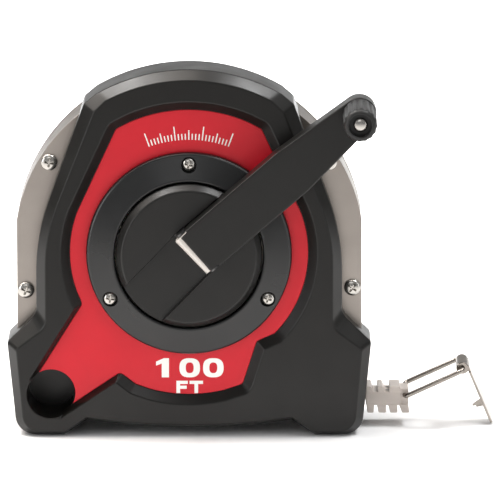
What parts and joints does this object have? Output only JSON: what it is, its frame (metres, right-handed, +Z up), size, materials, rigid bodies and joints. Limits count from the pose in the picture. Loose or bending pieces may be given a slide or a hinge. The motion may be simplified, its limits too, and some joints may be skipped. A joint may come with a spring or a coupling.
{
  "type": "long tape reel",
  "caption": "Closed-case long measuring tape: moulded case over a steel drum housing, folding crank with knob, planetary rewind, bumper, wire bail and hook on the blade's end.",
  "frame": {"origin": "bottom centre of the whole reel's box with the crank unfolded and the hook out; z = 0 is the plane of the feet", "axes": "+Z up when the reel stands on its feet, +X towards the mouth and the hook, -Y towards the crank side"},
  "size_m": [0.2233, 0.099, 0.1702],
  "materials": {
    "black_plastic": "fine-textured moulded black",
    "dark_plastic": "satin black-grey moulding",
    "crank_plastic": "satin black glass-filled nylon",
    "knob_plastic": "satin black",
    "red_plastic": "satin red",
    "nickel_plate": "warm satin nickel plate",
    "zinc_steel": "zinc-plated steel",
    "bright_screw": "bright plated",
    "black_screw": "blackened steel",
    "spring_steel": "dark spring steel",
    "acetal": "natural acetal",
    "brass_gear": "machined brass",
    "bronze": "sintered bronze",
    "blade_coat": "nylon-coated steel blade",
    "felt": "pressed felt",
    "bumper_plastic": "clear urethane, slightly smoked",
    "wire_steel": "nickel-plated spring wire and plate"
  },
  "bodies": {
    "case": {"front_shell": "black_plastic", "rear_shell": "black_plastic", "front_panel": "red_plastic", "rear_panel": "red_plastic", "front_plate": "nickel_plate", "rear_plate": "nickel_plate", "rim_band": "nickel_plate", "frame_posts": "zinc_steel", "frame_screws": "bright_screw", "shell_screws": "black_screw", "gear_cover": "dark_plastic", "cover_screws": "bright_screw", "ring_gear": "acetal", "drum_axle": "zinc_steel", "axle_nut": "zinc_steel", "axle_clip": "spring_steel", "mouth_guide": "dark_plastic", "wiper_pads": "felt", "blade_lead": "blade_coat"},
    "crank": {"crank_carrier": "zinc_steel", "crank_hub": "crank_plastic", "hub_screws": "zinc_steel", "planet_pins": "zinc_steel", "hinge_bracket": "black_screw", "bracket_rivets": "black_screw", "hinge_pin": "zinc_steel"},
    "planet_1": {"planet_gear_1": "acetal"},
    "planet_2": {"planet_gear_2": "acetal"},
    "planet_3": {"planet_gear_3": "acetal"},
    "arm": {"crank_arm": "crank_plastic", "arm_strap": "nickel_plate", "knob_stud": "bright_screw"},
    "knob": {"crank_knob": "knob_plastic"},
    "drum": {"drum_core": "dark_plastic", "drum_front_flange": "nickel_plate", "drum_rear_flange": "nickel_plate", "drum_bushing": "bronze", "sun_gear": "brass_gear", "tape_coil": "blade_coat"},
    "blade": {"blade_end": "blade_coat", "blade_rivets": "spring_steel", "end_bumper": "bumper_plastic"},
    "bail": {"hook_bail": "wire_steel"},
    "hook": {"end_hook": "wire_steel"}
  },
  "joints": [
    {"name": "crank_spin", "type": "hinge", "parent": "case", "child": "crank", "pos_m": [-0.0283, 0.0215, 0.0857], "axis": [0, -1, 0], "range_deg": [-90, 12600]},
    {"name": "drum_spin", "type": "hinge", "parent": "case", "child": "drum", "pos_m": [-0.0283, 0.0215, 0.0857], "axis": [0, -1, 0], "range_deg": [-270, 37800]},
    {"name": "planet_1_spin", "type": "hinge", "parent": "crank", "child": "planet_1", "pos_m": [-0.0283, 0.0031, 0.1082], "axis": [0, -1, 0], "range_deg": [-50400, 360]},
    {"name": "planet_2_spin", "type": "hinge", "parent": "crank", "child": "planet_2", "pos_m": [-0.04779, 0.0031, 0.07445], "axis": [0, -1, 0], "range_deg": [-50400, 360]},
    {"name": "planet_3_spin", "type": "hinge", "parent": "crank", "child": "planet_3", "pos_m": [-0.00881, 0.0031, 0.07445], "axis": [0, -1, 0], "range_deg": [-50400, 360]},
    {"name": "arm_fold", "type": "hinge", "parent": "crank", "child": "arm", "pos_m": [-0.02424, -0.0168, 0.08956], "axis": [0.6896, 0, -0.7242], "range_deg": [0, 180]},
    {"name": "knob_spin", "type": "hinge", "parent": "arm", "child": "knob", "pos_m": [0.04885, -0.0335, 0.15333], "axis": [0, -1, 0], "continuous": true},
    {"name": "blade_pull", "type": "slide", "parent": "case", "child": "blade", "axis": [1, 0, 0], "range_m": [0, 0.045]},
    {"name": "bail_swing", "type": "hinge", "parent": "blade", "child": "bail", "pos_m": [0.0709, 0.0215, 0.0156], "axis": [0, 0.9877, 0.1564], "range_deg": [-64, 84]},
    {"name": "hook_swing", "type": "hinge", "parent": "bail", "child": "hook", "pos_m": [0.09741, 0.01948, 0.02837], "axis": [0, 0.9877, 0.1564], "range_deg": [-90, 45]}
  ],
  "couplings": [
    {"joint": "drum_spin", "follows": "crank_spin", "ratio": 3},
    {"joint": "planet_1_spin", "follows": "crank_spin", "ratio": -4},
    {"joint": "planet_2_spin", "follows": "crank_spin", "ratio": -4},
    {"joint": "planet_3_spin", "follows": "crank_spin", "ratio": -4}
  ]
}
